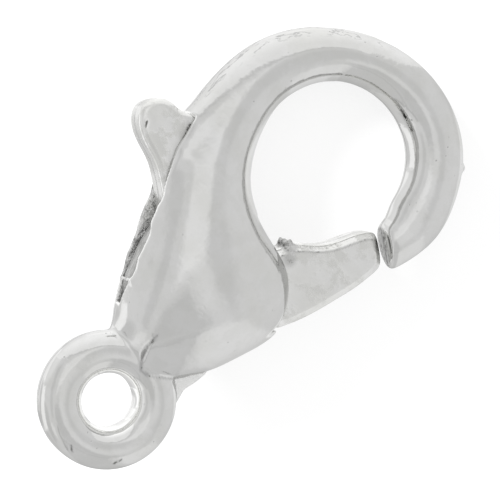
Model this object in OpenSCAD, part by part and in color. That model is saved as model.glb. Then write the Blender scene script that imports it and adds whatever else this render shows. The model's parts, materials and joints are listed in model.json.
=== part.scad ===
// Lobster clasp for a chain: a cast body with a ring at one end and a round hook at the
// other, and a sprung lever that closes the hook. Sizes are in millimetres.
// Each piece is drawn about the pivot's axis, with the hook towards +Y and the gate
// towards +X, and lie() then lays the whole clasp on its belly and the end of its hook.

/* [Body] */
// Distance from the pivot's axis to the middle of the end ring
pivot_to_ring = 4.31; // [4.1:0.01:4.7]
// Distance from the pivot's axis to the middle of the hook's opening
pivot_to_hook = 4.94; // [4.8:0.01:5.3]
// Width of the belly where it is widest
belly_w = 5.4; // [5.2:0.05:6]
// Thickness of the belly where it is thickest
belly_t = 3.55; // [3.2:0.05:4.4]
// Thickness of the thin flash left beside the ring
flash_t = 0.36; // [0.2:0.02:0.6]

/* [Ring] */
// Diameter of the hole in the end ring
ring_bore_d = 1.52; // [1.2:0.02:1.8]
// Width of the metal around that hole
ring_w = 1.17; // [1:0.01:1.3]
// Thickness of the ring along its axis
ring_t = 1.45; // [1.2:0.05:1.7]
// Rounding of the ring's edges
ring_round = 0.55; // [0.3:0.01:0.58]

/* [Hook] */
// Clear diameter inside the hook
hook_gap_d = 4.42; // [4.2:0.02:4.6]
// Width of the hook's metal, seen from the front
hook_w = 1.6; // [1.3:0.02:1.8]
// Thickness of the hook's metal, seen from the side
hook_t = 1.52; // [1.2:0.02:1.8]
// Rounding of the hook's end
tip_round = 0.12; // [0.05:0.01:0.2]

/* [Lever] */
// Thickness of the lever
lever_t = 1.25; // [1:0.01:1.35]
// Gap between the lever's faces and the slot in the body, on each side
lever_side_gap = 0.05; // [0.03:0.01:0.1]
// Distance from the pivot's axis to the far end of the gate
gate_reach = 4.86; // [4.7:0.01:4.95]
// Distance from the pivot's axis to the far corner of the trigger
trigger_reach = 5.52; // [5.2:0.01:6]
// Diameter of the lever's hub
hub_d = 2.2; // [1.8:0.02:2.3]
// Diameter of the nub at the gate's root
nub_d = 0.5; // [0.3:0.02:0.54]
// Thickness of that nub
nub_t = 0.9; // [0.5:0.05:1]
// Angle through which the lever opens, in degrees
lever_travel = 27; // [15:1:28]

/* [Pivot pin] */
// Diameter of the hidden pin that the lever turns on
pin_d = 0.8; // [0.6:0.02:1]
// Depth to which each end of the pin sits in the body
pin_seat = 0.6; // [0.4:0.02:0.7]
// Radial gap between the pin and the body
pin_fit_gap = 0.01; // [0.01:0.005:0.02]
// Radial gap between the pin and the lever
pin_run_gap = 0.03; // [0.02:0.005:0.05]

/* [Spring] */
// Thickness of the leaf spring's strip
spring_t = 0.12; // [0.08:0.01:0.2]
// Width of the leaf spring's strip
spring_w = 0.8; // [0.5:0.05:0.9]

/* [Hidden] */
$fn = 48;
tiny = 0.02;

// Number of points around one section of the cast body, and of steps from row to row of
// the belly, the hook, the lever's outline and the slot's edge under the hub
section_points = 28;
belly_steps = 2;
hook_steps = 4;
outline_steps = 3;
hub_steps = 8;

slot_t = lever_t + 2 * lever_side_gap;
slot_gap = 0.15;
gap_r = hook_gap_d / 2;
hook_c = [0, pivot_to_hook];
ring_c = [0, -pivot_to_ring];
ring_r = ring_bore_d / 2 + ring_w;

// Sections of the belly, from the ring to the root of the hook. Each section stands across
// the clasp between a point on its gate side and one on its trigger side. Columns: gate
// side x and y, trigger side x and y, half thickness, fullness. The x values are shares of
// belly_w, the thickness is a share of belly_t, and y is a share of pivot_to_ring where it
// is negative and of pivot_to_hook where it is positive. A fullness of 2 gives an oval, and
// more than that squarer shoulders.
BELLY = [
    [ 0.037, -0.757, -0.074, -0.757, 0.155, 2.2],
    [ 0.106, -0.715, -0.200, -0.722, 0.268, 2.2],
    [ 0.169, -0.635, -0.258, -0.650, 0.338, 2.2],
    [ 0.226, -0.525, -0.287, -0.557, 0.411, 2.2],
    [ 0.293, -0.394, -0.361, -0.394, 0.470, 2.2],
    [ 0.357, -0.197, -0.441, -0.209, 0.500, 2.2],
    [ 0.407,  0.000, -0.515, -0.012, 0.496, 2.2],
    [ 0.407,  0.126, -0.570,  0.126, 0.473, 2.2],
    [ 0.365,  0.233, -0.613,  0.243, 0.439, 2.3],
    [ 0.278,  0.340, -0.652,  0.348, 0.403, 2.5],
    [ 0.194,  0.399, -0.680,  0.425, 0.375, 2.7],
    [ 0.083,  0.425, -0.700,  0.490, 0.346, 2.9],
    [-0.037,  0.451, -0.714,  0.547, 0.324, 3.0],
    [-0.167,  0.510, -0.722,  0.607, 0.301, 2.9],
    [-0.313,  0.668, -0.725,  0.688, 0.276, 2.6],
];

// Sections of the hook, from its root to its tip. Columns: angle of its inner point about
// the middle of the opening, angle of its outer point, share of the opening's radius,
// width as a share of hook_w, thickness as a share of hook_t, fullness.
HOOK = [
    [190, 186, 1.000, 1.14, 1.12, 2.4],
    [170, 168, 1.000, 1.07, 1.05, 2.3],
    [145, 145, 1.000, 0.96, 1.00, 2.2],
    [120, 120, 1.000, 0.90, 1.00, 2.2],
    [ 95,  95, 1.000, 0.94, 1.00, 2.2],
    [ 70,  70, 1.010, 1.01, 1.00, 2.2],
    [ 47,  47, 1.015, 1.06, 1.00, 2.2],
    [ 25,  25, 1.000, 1.03, 1.00, 2.2],
    [  8,   5, 1.000, 1.00, 1.00, 2.2],
    [ -4, -15, 1.060, 0.89, 0.97, 2.2],
];

// Outline of the gate, from its lower root round its end to its upper root. Columns:
// angle about the pivot's axis, radius as a share of gate_reach.
GATE = [
    [12.0, 0.444],
    [22.0, 0.525],
    [31.4, 0.628],
    [38.5, 0.735],
    [43.6, 0.840],
    [47.5, 0.925],
    [49.6, 0.972],
    [51.5, 0.993],
    [56.0, 1.000],
    [60.5, 1.000],
    [62.3, 0.988],
    [63.0, 0.955],
    [63.0, 0.852],
    [62.2, 0.735],
    [64.5, 0.620],
    [67.8, 0.540],
    [72.0, 0.400],
];

// Outline of the trigger, from its upper root round its pad to its lower root. Columns:
// angle about the pivot's axis, radius as a share of trigger_reach.
TRIGGER = [
    [128.0, 0.280],
    [141.0, 0.500],
    [142.0, 0.700],
    [141.5, 0.846],
    [146.0, 0.909],
    [148.5, 0.959],
    [151.1, 0.992],
    [153.2, 1.000],
    [155.3, 1.000],
    [157.8, 0.983],
    [160.0, 0.934],
    [161.2, 0.860],
    [161.2, 0.773],
    [161.4, 0.690],
    [164.5, 0.567],
    [168.5, 0.482],
    [178.0, 0.380],
];

// Way of the spring's strip through the lower half of the slot, from its foot to its free
// end below the trigger. Columns: x as a share of belly_w, y as a share of pivot_to_ring.
SPRING = [
    [-0.205, -0.450],
    [-0.265, -0.446],
    [-0.326, -0.390],
    [-0.372, -0.270],
    [-0.411, -0.130],
    [-0.434, -0.012],
    [-0.438,  0.034],
];

// Floor of the slot below the trigger, from outside inwards. Columns: x as a share of
// belly_w, y as a share of pivot_to_ring.
SLOT_FLOOR = [
    [-1.00, -0.470],
    [-0.31, -0.497],
    [-0.21, -0.480],
    [-0.13, -0.370],
];

// Angles about the pivot's axis between which the slot follows the hub
slot_hub = [250, 314];

// Opening of the slot on the gate's side, from below the gate round to above it. Columns:
// angle about the pivot's axis, radius as a share of gate_reach, and the share of the
// lever's travel that is added to the angle.
SLOT_GATE = [
    [10.0, 0.457, 0],
    [17.5, 1.165, 0],
    [50.6, 0.788, 0],
    [75.0, 0.630, 1],
    [82.0, 0.320, 1],
];

// Wall of the slot above the trigger, from inside outwards. Columns: angle about the
// pivot's axis, radius as a share of trigger_reach.
SLOT_TRIGGER = [
    [123.0, 0.307],
    [137.5, 0.500],
    [139.5, 0.700],
    [139.3, 0.846],
    [142.0, 1.000],
    [148.0, 1.200],
];

// Thin flash between the ring and the belly. Columns: angle about the middle of the ring,
// radius as a share of ring_r.
FLASH = [
    [80.0, 0.845],
    [20.0, 0.845],
    [42.0, 1.040],
    [50.0, 1.134],
    [54.0, 1.330],
    [57.5, 1.500],
    [64.0, 1.450],
];

// Angles on the hub at which the gate's outline begins and ends, and the trigger's
gate_on_hub = [-42, 88];
trigger_on_hub = [92, 222];

// Place of the nub: angle about the pivot's axis, radius as a share of gate_reach
nub_at = [69.5, 0.505];

function polar(r, a) = [r * cos(a), r * sin(a)];
function along_y(share) = share * (share < 0 ? pivot_to_ring : pivot_to_hook);

// Points of an outline that is given as angles and shares of a reach
function reach_points(rows, reach) = [for (row = rows) polar(row[1] * reach, row[0])];

// Smooth curve through rows of numbers, with a few steps between each row and the next,
// and more steps from the row that is numbered fine_from
function spline(a, b, c, d, t) =
    b + 0.5 * t * ((c - a) + t * ((2 * a - 5 * b + 4 * c - d) + t * (3 * (b - c) + d - a)));
function smooth(rows, steps, fine_steps, fine_from) = [
    for (i = [0 : len(rows) - 2])
        let (n = is_undef(fine_from) || i < fine_from ? steps : fine_steps,
             last = len(rows) - 1)
        for (k = [0 : n - 1])
            spline(rows[max(i - 1, 0)], rows[i], rows[i + 1], rows[min(i + 2, last)], k / n),
    rows[len(rows) - 1]
];

// A row of the body: gate side x and y, trigger side x and y, half thickness, fullness
belly_rows = [for (row = BELLY)
    [row[0] * belly_w, along_y(row[1]), row[2] * belly_w, along_y(row[3]),
     row[4] * belly_t, row[5]]];
hook_rows = [for (row = HOOK)
    let (inner = hook_c + polar(gap_r * row[2], row[0]),
         outer = hook_c + polar(gap_r + hook_w * row[3], row[1]))
    [inner[0], inner[1], outer[0], outer[1], hook_t * row[4] / 2, row[5]]];

// The hook's end, drawn in by tip_round on every side and that much further on
last_row = hook_rows[len(hook_rows) - 1];
tip_across = [last_row[2] - last_row[0], last_row[3] - last_row[1]] / norm(
    [last_row[2] - last_row[0], last_row[3] - last_row[1]]);
tip_ahead = [tip_across[1], -tip_across[0]] * tip_round;
tip_row = [
    last_row[0] + tip_across[0] * tip_round + tip_ahead[0],
    last_row[1] + tip_across[1] * tip_round + tip_ahead[1],
    last_row[2] - tip_across[0] * tip_round + tip_ahead[0],
    last_row[3] - tip_across[1] * tip_round + tip_ahead[1],
    last_row[4] - tip_round,
    last_row[5]
];
body_rows = concat(
    smooth(concat(belly_rows, hook_rows), belly_steps, hook_steps, len(BELLY)), [tip_row]);

function full(value, fullness) = sign(value) * pow(abs(value), 2 / fullness);
function section(row) =
    let (near = [row[0], row[1]], far = [row[2], row[3]], middle = (near + far) / 2)
    [for (k = [0 : section_points - 1])
        let (a = 360 * (k + 0.5) / section_points,
             p = middle + full(cos(a), row[5]) * (near - middle))
        [p[0], p[1], row[4] * full(sin(a), row[5])]];
body_points = [for (row = body_rows) each section(row)];

// How the clasp lies: its slope is the one at which the belly and the hook's end are
// equally low, found by halving, and the belly and the hook then both touch the ground
function depth(p, slope) = p[1] * sin(slope) - p[2] * cos(slope);
function deepest(points, slope) = max([for (p = points) depth(p, slope)]);
hook_from = 0.8 * pivot_to_hook;
belly_points = [for (p = body_points) if (p[1] < hook_from && p[2] < 0) p];
hook_points = [for (p = body_points) if (p[1] > hook_from && p[2] < 0) p];
function level(low, high, turns) =
    let (mid = (low + high) / 2)
    turns == 0 ? mid
    : deepest(hook_points, mid) > deepest(belly_points, mid) ? level(low, mid, turns - 1)
    : level(mid, high, turns - 1);
steepest_slope = 20;
halvings = 20;
lie_slope = level(0, steepest_slope, halvings);

// Middle of the clasp's length and width, which lies above the origin
gate_points = reach_points(GATE, gate_reach);
trigger_points = reach_points(TRIGGER, trigger_reach);
trigger_side = min([for (p = trigger_points) p[0]]);
width_mid = (trigger_side + gap_r + hook_w) / 2;
length_mid = (pivot_to_hook + gap_r + hook_w - pivot_to_ring - ring_r) / 2;
lie_height = deepest(belly_points, lie_slope) - depth([width_mid, length_mid, 0], lie_slope);

module lie() {
    translate([0, 0, lie_height])
        rotate([-lie_slope, 0, 0])
            translate([-width_mid, -length_mid, 0])
                children();
}

module slab(outline, thickness) {
    translate([0, 0, -thickness / 2])
        linear_extrude(thickness)
            polygon(outline);
}

module cast_form() {
    n = section_points;
    last = len(body_rows) - 1;
    sides = [for (j = [0 : last - 1], k = [0 : n - 1])
        let (a = j * n + k, b = j * n + (k + 1) % n)
        each [[a, b + n, a + n], [a, b, b + n]]];
    ends = [[for (k = [n - 1 : -1 : 0]) k], [for (k = [0 : n - 1]) last * n + k]];
    polyhedron(body_points, concat(sides, ends));
}

module end_ring() {
    translate([ring_c[0], ring_c[1], 0])
        rotate_extrude() {
            inner = ring_bore_d / 2;
            for (x = [inner + ring_round, ring_r - ring_round], s = [-1, 1])
                translate([x, s * (ring_t / 2 - ring_round)])
                    circle(ring_round);
            translate([inner, ring_round - ring_t / 2])
                square([ring_w, ring_t - 2 * ring_round]);
            translate([inner + ring_round, -ring_t / 2])
                square([ring_w - 2 * ring_round, ring_t]);
        }
}

module flash() {
    slab([for (row = FLASH) ring_c + polar(row[1] * ring_r, row[0])], flash_t);
}

// The slot right through the body, open on both sides, in which the lever turns
module slot() {
    under_hub = [for (k = [0 : hub_steps])
        polar(hub_d / 2 + slot_gap, slot_hub[0] + k / hub_steps * (slot_hub[1] - slot_hub[0]))];
    slab(concat(
        [for (row = SLOT_FLOOR) [row[0] * belly_w, row[1] * pivot_to_ring]],
        under_hub,
        [for (row = SLOT_GATE) polar(row[1] * gate_reach, row[0] + row[2] * lever_travel)],
        reach_points(SLOT_TRIGGER, trigger_reach)
    ), slot_t);
}

module body() {
    color("gainsboro")
        lie()
            difference() {
                union() {
                    cast_form();
                    end_ring();
                    flash();
                }
                slot();
                cylinder(h = slot_t + 2 * pin_seat + tiny, d = pin_d + 2 * pin_fit_gap, center = true);
            }
}

// One arm of the lever: its outline, with its two ends drawn onto the hub
module arm(points, on_hub) {
    root_r = hub_d / 2 - tiny;
    slab(concat([polar(root_r, on_hub[0])], smooth(points, outline_steps), [polar(root_r, on_hub[1])]),
         lever_t);
}

module lever() {
    color("silver")
        lie()
            difference() {
                union() {
                    cylinder(h = lever_t, d = hub_d, center = true);
                    arm(gate_points, gate_on_hub);
                    arm(trigger_points, trigger_on_hub);
                    translate(polar(nub_at[1] * gate_reach, nub_at[0]))
                        cylinder(h = nub_t, d = nub_d, center = true);
                }
                cylinder(h = 2 * lever_t, d = pin_d + 2 * pin_run_gap, center = true);
            }
}

module pivot_pin() {
    color("darkgray")
        lie()
            cylinder(h = slot_t + 2 * pin_seat, d = pin_d, center = true);
}

module spring() {
    way = smooth([for (row = SPRING) [row[0] * belly_w, row[1] * pivot_to_ring]], outline_steps);
    last = len(way) - 1;
    side = [for (i = [0 : last])
        let (d = way[min(i + 1, last)] - way[max(i - 1, 0)])
        [-d[1], d[0]] / norm(d) * spring_t / 2];
    color("lightgray")
        lie()
            slab(concat(way + side, [for (i = [last : -1 : 0]) way[i] - side[i]]), spring_w);
}

body();
lever();
pivot_pin();
spring();
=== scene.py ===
"""Dresses the lobster clasp: smooth cast metal with rounded edges, parting lines and pits.

The forms are worked out as distance fields on a grid, in millimetres about the pivot's
axis, with +X towards the gate, +Y towards the hook and +Z through the thickness. The frame
says where that pivot and those directions are."""
import json
import math
import bpy
import numpy as np
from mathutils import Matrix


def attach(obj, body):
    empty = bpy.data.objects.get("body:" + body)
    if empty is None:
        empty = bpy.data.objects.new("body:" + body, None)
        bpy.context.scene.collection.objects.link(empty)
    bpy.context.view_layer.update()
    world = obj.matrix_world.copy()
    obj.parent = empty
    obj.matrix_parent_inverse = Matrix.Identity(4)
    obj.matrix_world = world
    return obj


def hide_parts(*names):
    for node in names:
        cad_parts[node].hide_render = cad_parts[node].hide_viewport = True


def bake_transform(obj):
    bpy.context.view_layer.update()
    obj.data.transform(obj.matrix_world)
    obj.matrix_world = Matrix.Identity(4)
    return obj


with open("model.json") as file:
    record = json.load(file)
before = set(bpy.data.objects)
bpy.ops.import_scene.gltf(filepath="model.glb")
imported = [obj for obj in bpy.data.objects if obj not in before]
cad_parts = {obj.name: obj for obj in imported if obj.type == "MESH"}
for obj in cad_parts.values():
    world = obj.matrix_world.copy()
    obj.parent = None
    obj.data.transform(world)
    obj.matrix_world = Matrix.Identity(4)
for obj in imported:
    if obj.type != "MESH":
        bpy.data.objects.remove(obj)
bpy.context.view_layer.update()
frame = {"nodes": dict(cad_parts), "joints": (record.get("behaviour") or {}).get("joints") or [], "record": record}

import openvdb as vdb
from mathutils import Matrix, Vector

MM = 0.001

# Sizes of the clasp in millimetres, as in the part's source
BELLY_W = 5.4
FLASH_T = 0.36
RING_BORE_D = 1.52
RING_W = 1.17
RING_T = 1.45
RING_ROUND = 0.55
RING_R = RING_BORE_D / 2 + RING_W
HOOK_GAP_D = 4.42
HOOK_W = 1.6
LEVER_T = 1.25
SIDE_GAP = 0.05
GATE_REACH = 4.86
TRIGGER_REACH = 5.52
HUB_D = 2.2
NUB_D = 0.5
LEVER_TRAVEL = 27
PIN_D = 0.8
PIN_SEAT = 0.6
SPRING_T = 0.12
SPRING_W = 0.8
SLOT_T = LEVER_T + 2 * SIDE_GAP
SLOT_GAP = 0.15

# Roundings of the edges, in millimetres
SLOT_EDGE = 0.07
SLOT_CORNER = 0.02
TIP_EDGE = 0.30
LIP_EDGE = 0.45
FLASH_EDGE = 0.08
GATE_EDGE = 0.13
PAD_EDGE = 0.20
BEVEL_EDGE = 0.015
NUB_EDGE = 0.08
NICK_EDGE = 0.01
SPRING_BEVEL = 0.025

# Fillets where two forms meet, in millimetres
NECK_FILLET = 0.14
LIP_FILLET = 0.45
FLASH_FILLET = 0.10
BUMP_FILLET = 0.12
BAR_FILLET = 0.08
HUB_FILLET = 0.25
NUB_FILLET = 0.06

# Grids of the two castings: lowest corner, highest corner and pitch, in millimetres. Each
# mesh is pulled to its exact surface in a few rounds.
BODY_GRID = ((-4.5, -6.7, -2.1), (4.4, 9.1, 2.1), 0.0545)
LEVER_GRID = ((-5.4, -1.5, -0.85), (3.5, 4.7, 0.85), 0.042)
SURFACE_ROUNDS = 4

# How the body swells between its sides: the slope to start from, the hold on wide places,
# the speed and the rounds of the sum, and the scale of what comes out of it
SWELL_START = 0.8
SWELL_HOLD = 0.34
SWELL_SPEED = 1.9
SWELL_ROUNDS = 700
SWELL_SCALE = 1.02

# The depth from which the swelling's slope is trusted, the rounds that carry it outwards
# from there, and the greatest distance that the field keeps
SHORE = 0.05
SHORE_ROUNDS = 12
FIELD_LIMIT = 0.6

# Steps of the curves from one row of a table to the next
OUTLINE_STEPS = 14
ARM_STEPS = 6
LEAF_STEPS = 10

# Sides of the belly, from the ring to the hook: gate side x and y, trigger side x and y.
# Shares of the sizes above, as in the part's source.
BELLY = [
    (0.037, -0.757, -0.074, -0.757), (0.106, -0.715, -0.200, -0.722),
    (0.169, -0.635, -0.258, -0.650), (0.226, -0.525, -0.287, -0.557),
    (0.293, -0.394, -0.361, -0.394), (0.357, -0.197, -0.441, -0.209),
    (0.407, 0.000, -0.515, -0.012), (0.407, 0.126, -0.570, 0.126),
    (0.365, 0.233, -0.613, 0.243), (0.278, 0.340, -0.652, 0.348),
    (0.194, 0.399, -0.680, 0.425), (0.083, 0.425, -0.700, 0.490),
    (-0.037, 0.451, -0.714, 0.547), (-0.167, 0.510, -0.722, 0.607),
    (-0.313, 0.668, -0.725, 0.688),
]

# Sides of the hook: angle of the inner point about the middle of the opening, angle of the
# outer point, share of the opening's radius, share of the hook's width. HOOK_BEYOND carries
# them on past the tip, which is cut off again.
HOOK = [
    (190, 186, 1.000, 1.14), (170, 168, 1.000, 1.07), (145, 145, 1.000, 0.96),
    (120, 120, 1.000, 0.90), (95, 95, 1.000, 0.94), (70, 70, 1.010, 1.01),
    (47, 47, 1.015, 1.06), (25, 25, 1.000, 1.03), (8, 5, 1.000, 1.00), (-4, -15, 1.060, 0.89),
]
HOOK_BEYOND = 0.9

# Outlines of the lever about the pivot: angle, share of the reach. They are the part's
# source's, but for the gate's upper edge, which stands a little higher.
GATE = [
    (12.0, 0.444), (22.0, 0.525), (31.4, 0.628), (38.5, 0.735), (43.6, 0.840),
    (47.5, 0.925), (49.6, 0.972), (51.5, 0.993), (56.0, 1.000), (60.5, 1.000),
    (62.3, 0.988), (63.2, 0.955), (63.8, 0.852), (64.0, 0.735), (67.0, 0.620),
    (71.0, 0.540), (76.0, 0.400),
]
TRIGGER = [
    (128.0, 0.280), (141.0, 0.500), (142.0, 0.700), (141.5, 0.846), (146.0, 0.909),
    (148.5, 0.959), (151.1, 0.992), (153.2, 1.000), (155.3, 1.000), (157.8, 0.983),
    (160.0, 0.934), (161.2, 0.860), (161.2, 0.773), (161.4, 0.690), (164.5, 0.567),
    (168.5, 0.482), (178.0, 0.380),
]

# Angles at which each arm leaves the hub, how deep its root lies in the hub's edge, and the
# nub's place by angle and share of the gate's reach
GATE_ON_HUB = (-42, 88)
TRIGGER_ON_HUB = (92, 222)
ROOT_SINK = 0.02
NUB_AT = (69.5, 0.505)

# The slot: its floor under the trigger as shares of BELLY_W and the way to the ring, the arc
# below the hub, its mouth on the gate's side, where the third number says whether the place
# goes with the open gate, and its wall above the trigger, close along the pad's edge
SLOT_FLOOR = [(-1.00, -0.470), (-0.31, -0.497), (-0.21, -0.480), (-0.13, -0.370)]
SLOT_HUB = (250, 314, 9)
SLOT_GATE = [(10.0, 0.457, 0), (17.5, 1.165, 0), (50.6, 0.788, 0), (75.0, 0.630, 1),
             (82.0, 0.320, 1)]
SLOT_TRIGGER = [(123.0, 0.307), (139.6, 0.500), (141.6, 0.700), (141.2, 0.846), (145.7, 0.909),
                (148.2, 0.959), (150.8, 0.992), (153.4, 1.200)]

# The flash about the ring's middle: angle, share of its outer radius. The leaf's course from
# its foot, in the slot's shares, and the point of its curve up to which the body holds it.
FLASH = [(80.0, 0.845), (20.0, 0.845), (42.0, 1.040), (50.0, 1.134), (54.0, 1.330),
         (57.5, 1.500), (64.0, 1.450)]
SPRING = [(-0.205, -0.450), (-0.265, -0.446), (-0.326, -0.390), (-0.372, -0.270),
          (-0.411, -0.130), (-0.434, -0.012), (-0.438, 0.034)]
LEAF_HELD = 8

# Unevenness of the slot on the trigger's side: waves by height, frequency and shift, how much
# wider it is there, how much thinner it is at the leaf's foot, and its grit
SLOT_WAVES = ((0.030, 5.3, 0.8), (0.010, 12.1, 2.0))
SLOT_WIDER = 0.050
FOOT_THINS = 0.8
SLOT_GRIT = (0.012, 0.42)

# Lips of the body on the trigger's side: lowest and highest y, lengths of their soft ends
# below and above, inset from the outline, and x that they end at. At a soft end a lip sinks
# in from the outline by LIP_SINKS and gets thinner by LIP_THINS.
LIPS = ((1.95, 3.05, 1.8, 3.2, 0.0, -3.15), (-0.90, 1.90, 0.9, 0.8, 0.03, -1.7),
        (-2.05, -1.05, 1.1, 1.1, 0.14, -1.1))
LIP_T = 1.68
LIP_SINKS = 0.15
LIP_THINS = 0.7

# Where the belly's dome ends over the ring and the neck, and how deep the metal lies beyond
DOME_END = [(-0.50, -2.20), (-0.43, -2.55), (-0.26, -2.88), (-0.01, -3.14), (0.26, -3.08),
            (0.82, -2.68), (1.26, -2.28), (1.47, -1.92), (3.0, -1.9), (3.0, 1.0), (-5.0, 1.0),
            (-5.0, -1.0)]
NECK_SINK = 0.08

# Small forms in millimetres: a bar across the slot by its place and radius, a bump on the
# hook by its place and radius, each with its grit by height and size, and the play of the pin
FOOT_BAR = (-1.91, -1.53, 0.06)
BAR_GRIT = (0.01, 0.3)
HOOK_BUMP = (2.90, 7.42, 0.20, 0.13)
BUMP_GRIT = (0.02, 0.3)
PIN_IN_BODY = 0.01
PIN_IN_LEVER = 0.03

# The hook's end face: how far it lies past the last section, how far about it the casting is
# cut, the radius that its mark keeps to, and the height of the mark's middle
TIP_PAST = 0.12
TIP_CUT_R = 1.6
END_FACE_R = 1.2
END_FACE_Z = -0.07

# The gate's bevel: its width, the cosine of its slope, how far it goes past the gate's side
# and where it begins, from the pivot. Its brink is marked above a line at GATE_MIDDLE
# degrees, so far from that line and from the pivot.
GATE_BEVEL = 0.19
BEVEL_COSINE = 0.707
BEVEL_PAST = 0.08
BEVEL_FROM = 1.7
GATE_MIDDLE = 55
BRINK_FROM = (0.1, 2.0)

# The nub beside the gate's root: shift, how much smaller its radius is than the source's,
# thickness and grit, and where a patch of painted shade lies beside it
NUB_SHIFT = (-0.16, 0.01)
NUB_LESS = 0.11
NUB_T = 0.9
NUB_GRIT = (0.03, 0.24)
HOLLOW_SHADE_AT = (0.93, 1.99)

# The pad's sharper corner, a nick in its face and painted shade along its edge under the body; and two nicks in
# the ring
PAD_CORNER = (-3.5, 2.9)
CORNER_SHARPER = 0.13
PAD_NICK = ((-4.670, 1.885), (-4.585, 1.745))
PAD_NICK_R = 0.030
PAD_SHADE = ((-3.72, 2.64), (-3.12, 1.22))
RING_NICKS = (((0.0, -5.93), (0.137, -6.03)), ((1.236, -5.478), (1.31, -5.259)))

# Soft steps in millimetres, from where each begins to where it is full. Names with an x or a
# y are along that axis, most of them towards the trigger or towards the ring.
SPAN = {
    "past_dome": (-0.02, 0.07), "neck_y": (2.2, 2.8), "foot_x": (0.9, 1.3),
    "foot_y": (1.0, 2.0), "waves_x": (1.2, 2.0), "waves_y": (-1.3, -0.5),
    "slot_grit_y": (-0.8, 0.3), "end_face": (0.09, 0.12), "rim_x": (1.2, 1.8),
    "gate_highlight": (0.03, 0.05), "worn_x": (0.6, 2.0), "worn_y": (2.8, 3.4),
    "worn_out": (0.25, 0.4), "foot_shade_y": (1.62, 1.75), "wall_shade_y": (-1.2, -0.4),
    "crumbs_y": (-1.8, -1.2), "pad_x": (2.6, 3.8), "lever_face": (0.45, 0.6),
}

# Marks on the metal and the pad's sharper corner: how far each reaches, and the width of its
# soft end, in millimetres
MARK = {
    "end_face": (0.45, 0.15), "rim_highlight": (0.045, 0.03), "gate_highlight": (0.17, 0.05),
    "bore": (0.24, 0.12), "crease": (0.06, 0.04), "under": (0.05, 0.04),
    "ring_nicks": (0.042, 0.03), "worn": (0.62, 0.15), "crumbs": (0.035, 0.02),
    "flash": (0.05, 0.04), "pad_corner": (0.75, 0.4), "hollow_shade": (0.30, 0.22),
    "pad_shade": (0.30, 0.28), "pad_brink": (0.12, 0.10), "gate_brink": (0.045, 0.03),
    "pad_nick": (0.035, 0.02), "nub": (0.30, 0.12),
}

# How dark each mark is. At the end face, the crease, under the dome's edge, inside the slot, at its
# foot and wall, in the patch beside the nub and along the pad's edge under the body, it is painted shade
DARK = {
    "end_face": 0.42, "crease": 0.45, "under": 0.35, "slot": 0.06, "ring_nicks": 0.65,
    "foot": 0.40, "wall": 0.12, "crumbs": 0.42, "hollow_shade": 0.40, "pad_shade": 0.30,
    "pad_brink": 0.25, "gate_brink": 0.40, "pad_nick": 0.9, "nub": 0.38,
}

# How strong the painted highlights at the gate's edge of the slot and round the bore's edge are, and how raw the
# end face is
HIGHLIGHT = {"gate_highlight": 0.9, "bore": 0.7}
RAW_END_FACE = 0.8

# Heights over the middle from which marks show, the x up to which the slot's painted shade and its
# crumbs reach, and how far marks keep from the bar and from the ring's edge
SHOWS_FROM = {"crease": 0.3, "under": 0.2, "ring_nicks": 0.1}
SHADE_TO_X = -1
CRUMBS_TO_X = -1.2
OFF_BAR = 0.10
OFF_RING = 0.03

# Depth of the slot's raw skin, where the painted highlight along its edge lies, and how the crumbs in it spread:
# by how much they stray and how large they are, their shift, and how many of them there are
RAW_SKIN = 0.03
RIM_AT = 0.045
CRUMB_GRIT = (0.03, 0.35)
CRUMB_SHIFT = -0.02
CRUMB_GROUPS = (0.7, -0.1)

# Directions and shifts of the waves that grit is made of
GRIT_WAVES = ((0.3, 0.4), (1.4, 2.1), (2.6, 4.4), (3.9, 5.2), (5.1, 1.3))

# The clasp's own directions in the frame: the hinge gives the pivot and its axis, the two
# mounts give the way from the ring to the hook
hinge = frame["joints"][0]
mounts = {m["name"]: m for m in frame["record"]["mounts"]}
pivot = np.array(hinge["pos_m"], float)
through = np.array(hinge["axis"], float)
through /= np.linalg.norm(through)
ring_at = np.array(mounts["ring_bore"]["pos_m"], float)
hook_at = np.array(mounts["hook_opening"]["pos_m"], float)
along = (hook_at - ring_at) / np.linalg.norm(hook_at - ring_at)
across = np.cross(along, through)
LOCAL = np.stack([across, along, through])
TO_RING = np.linalg.norm(ring_at - pivot) / MM
TO_HOOK = np.linalg.norm(hook_at - pivot) / MM


def to_frame(points):
    """Points in millimetres about the pivot, as metres in the frame."""
    return pivot + np.asarray(points, float) @ LOCAL * MM


def polar(radius, angle):
    """A place at an angle in degrees from +X."""
    turn = np.radians(angle)
    return np.array([radius * np.cos(turn), radius * np.sin(turn)])


def natural_spline(rows, steps):
    """Smooth curve through rows of numbers, with steps points between each row and the next."""
    rows = np.asarray(rows, float)
    count = len(rows)
    gaps = np.maximum(np.linalg.norm(np.diff(rows[:, :2], axis=0), axis=1), 1e-6) ** 0.5
    system = np.eye(count)
    target = np.zeros_like(rows)
    for i in range(1, count - 1):
        system[i, i - 1:i + 2] = gaps[i - 1], 2 * (gaps[i - 1] + gaps[i]), gaps[i]
        target[i] = 6 * ((rows[i + 1] - rows[i]) / gaps[i] - (rows[i] - rows[i - 1]) / gaps[i - 1])
    bend = np.linalg.solve(system, target)
    out = []
    for i in range(count - 1):
        h = gaps[i]
        for k in range(steps):
            t = h * k / steps
            out.append(bend[i] * (h - t) ** 3 / (6 * h) + bend[i + 1] * t ** 3 / (6 * h)
                       + (rows[i] / h - bend[i] * h / 6) * (h - t)
                       + (rows[i + 1] / h - bend[i + 1] * h / 6) * t)
    out.append(rows[-1])
    return np.array(out)


def along_y(share):
    return share * (TO_RING if share < 0 else TO_HOOK)


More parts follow.
